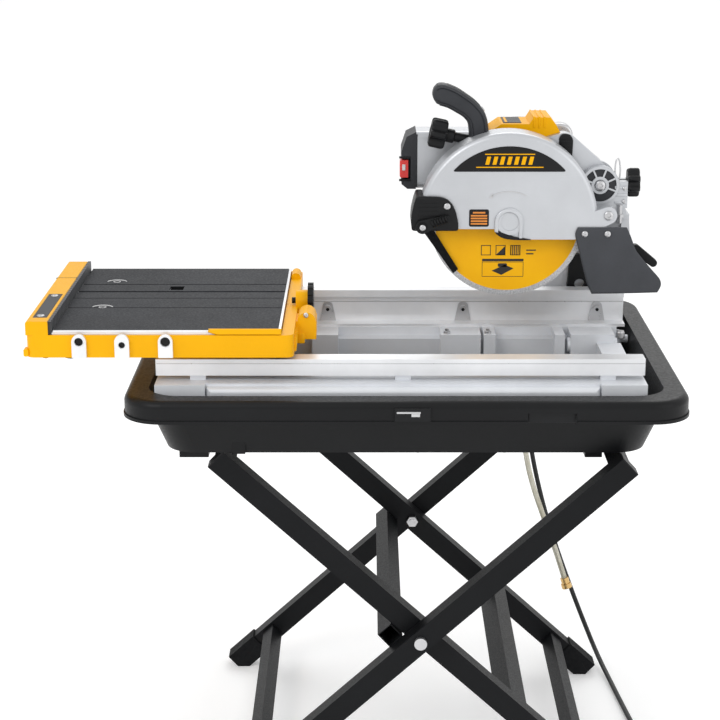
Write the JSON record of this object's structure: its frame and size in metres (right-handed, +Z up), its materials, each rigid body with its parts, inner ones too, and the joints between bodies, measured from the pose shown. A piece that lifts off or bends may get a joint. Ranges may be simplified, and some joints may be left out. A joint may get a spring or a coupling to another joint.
{
  "type": "tile cutter",
  "caption": "Wet tile saw with a sliding table, a tilting and plunging head over a water pan, and a folding scissor stand.",
  "frame": {"origin": "on the floor under the middle of the saw", "axes": "+X to the right along the cart's travel, +Y to the back, +Z up"},
  "size_m": [1.163, 0.7365, 1.148],
  "materials": {
    "stand_black": "satin",
    "rubber_black": "matte",
    "pan_plastic": "matte",
    "black_plastic": "matte",
    "dark_grey_plastic": "matte",
    "yellow_paint": "satin",
    "yellow_plastic": "satin",
    "cast_aluminium": "satin",
    "rail_aluminium": "satin",
    "zinc_steel": "satin",
    "blade_steel": "satin",
    "copper_windings": "satin",
    "red_plastic": "satin",
    "clear_vinyl": "gloss",
    "brass": "satin",
    "cord_rubber": "matte"
  },
  "bodies": {
    "outer_frame": {"outer_legs": "stand_black", "outer_crossbars": "stand_black", "outer_end_caps": "black_plastic", "outer_feet": "rubber_black", "pivot_hardware": "zinc_steel"},
    "inner_frame": {"inner_legs": "stand_black", "inner_crossbars": "stand_black", "inner_end_caps": "black_plastic", "inner_feet": "rubber_black"},
    "saw_base": {"water_pan": "pan_plastic", "pan_clip": "zinc_steel", "casting_front_beam": "cast_aluminium", "casting_rear_beam": "cast_aluminium", "casting_end_members": "cast_aluminium", "front_rail": "rail_aluminium", "rear_rail": "rail_aluminium", "base_hardware": "zinc_steel", "head_column": "cast_aluminium", "support_arm": "cast_aluminium", "column_fittings": "black_plastic", "power_cord": "cord_rubber", "cord_coil": "cord_rubber", "power_plug": "cord_rubber", "water_tube": "clear_vinyl", "hose_fitting": "brass"},
    "sliding_cart": {"cart_frame": "yellow_paint", "deck_tray": "cast_aluminium", "deck_mats": "rubber_black", "cart_fence": "yellow_paint", "fence_trim": "black_plastic", "rear_glides": "black_plastic", "skirt_bosses": "cast_aluminium", "roller_axles": "zinc_steel"},
    "left_roller": {"roller_left": "black_plastic"},
    "right_roller": {"roller_right": "black_plastic"},
    "cart_knob": {"cart_lock_knob": "black_plastic"},
    "tilt_bracket": {"bevel_bracket": "cast_aluminium", "pivot_pins": "zinc_steel"},
    "lock_knob": {"plunge_lock_knob": "black_plastic"},
    "tilt_lever": {"bevel_lever": "black_plastic"},
    "head": {"head_casting": "cast_aluminium", "guard_cover": "cast_aluminium", "shaft_bearings": "zinc_steel", "motor_housing": "cast_aluminium", "stator": "copper_windings", "motor_cover": "yellow_plastic", "switch_box": "cast_aluminium", "switch_box_cap": "dark_grey_plastic", "handle": "dark_grey_plastic", "nozzle_housing": "black_plastic", "wiper_strips": "rubber_black", "splash_flap": "rubber_black", "head_screws": "zinc_steel"},
    "front_knob": {"head_knob": "black_plastic"},
    "water_lever": {"nozzle_lever": "black_plastic"},
    "switch": {"power_switch": "red_plastic"},
    "blade_group": {"saw_blade": "blade_steel", "blade_flanges": "zinc_steel", "arbor_spindle": "zinc_steel"},
    "rotor": {"motor_rotor": "zinc_steel"}
  },
  "joints": [
    {"name": "saw_lift", "type": "slide", "parent": "outer_frame", "child": "saw_base", "axis": [0, 0, 1], "range_m": [0, 0.55851]},
    {"name": "stand_fold", "type": "hinge", "parent": "outer_frame", "child": "inner_frame", "pos_m": [0.09625, 0.00175, 0.312], "axis": [0, 1, 0], "range_deg": [0, 80]},
    {"name": "cart_slide", "type": "slide", "parent": "saw_base", "child": "sliding_cart", "axis": [1, 0, 0], "range_m": [0, 0.56]},
    {"name": "left_roller_spin", "type": "hinge", "parent": "sliding_cart", "child": "left_roller", "pos_m": [-0.48175, -0.23325, 0.7743], "axis": [0, 1, 0], "continuous": true},
    {"name": "right_roller_spin", "type": "hinge", "parent": "sliding_cart", "child": "right_roller", "pos_m": [-0.12375, -0.23325, 0.7743], "axis": [0, 1, 0], "continuous": true},
    {"name": "cart_knob_turn", "type": "hinge", "parent": "sliding_cart", "child": "cart_knob", "pos_m": [-0.08175, -0.07825, 0.813], "axis": [1, 0, 0], "range_deg": [-180, 180]},
    {"name": "bevel_tilt", "type": "hinge", "parent": "saw_base", "child": "tilt_bracket", "pos_m": [0.41625, -0.01525, 0.85], "axis": [1, 0, 0], "range_deg": [0, 45]},
    {"name": "head_plunge", "type": "hinge", "parent": "tilt_bracket", "child": "head", "pos_m": [0.39425, 0.04675, 0.984], "axis": [0, 1, 0], "range_deg": [0, 20], "deforming": ["splash_flap"]},
    {"name": "lock_knob_turn", "type": "hinge", "parent": "tilt_bracket", "child": "lock_knob", "pos_m": [0.44725, 0.03475, 0.986], "axis": [1, 0, 0], "range_deg": [-180, 180]},
    {"name": "tilt_lever_turn", "type": "hinge", "parent": "tilt_bracket", "child": "tilt_lever", "pos_m": [0.45525, 0.00675, 0.879], "axis": [0, 1, 0], "range_deg": [-25, 0]},
    {"name": "front_knob_turn", "type": "hinge", "parent": "head", "child": "front_knob", "pos_m": [0.19025, 0.02175, 1.0556], "axis": [-0.9781, 0, 0.2079], "range_deg": [-180, 180]},
    {"name": "water_lever_turn", "type": "hinge", "parent": "head", "child": "water_lever", "pos_m": [0.10125, -0.05825, 0.929], "axis": [0, 1, 0], "range_deg": [-60, 0]},
    {"name": "switch_press", "type": "slide", "parent": "head", "child": "switch", "axis": [1, 0, 0], "range_m": [0, 0.0025]},
    {"name": "blade_spin", "type": "hinge", "parent": "head", "child": "blade_group", "pos_m": [0.24085, -0.01525, 0.9337], "axis": [0, 1, 0], "continuous": true},
    {"name": "rotor_spin", "type": "hinge", "parent": "head", "child": "rotor", "pos_m": [0.27225, 0.12175, 1.012], "axis": [0, 1, 0], "continuous": true}
  ],
  "couplings": [
    {"joint": "stand_fold", "follows": "saw_lift", "rad_per_m": 2.5},
    {"joint": "left_roller_spin", "follows": "cart_slide", "rad_per_m": 83.333},
    {"joint": "right_roller_spin", "follows": "cart_slide", "rad_per_m": 83.333},
    {"joint": "rotor_spin", "follows": "blade_spin", "ratio": -4}
  ]
}
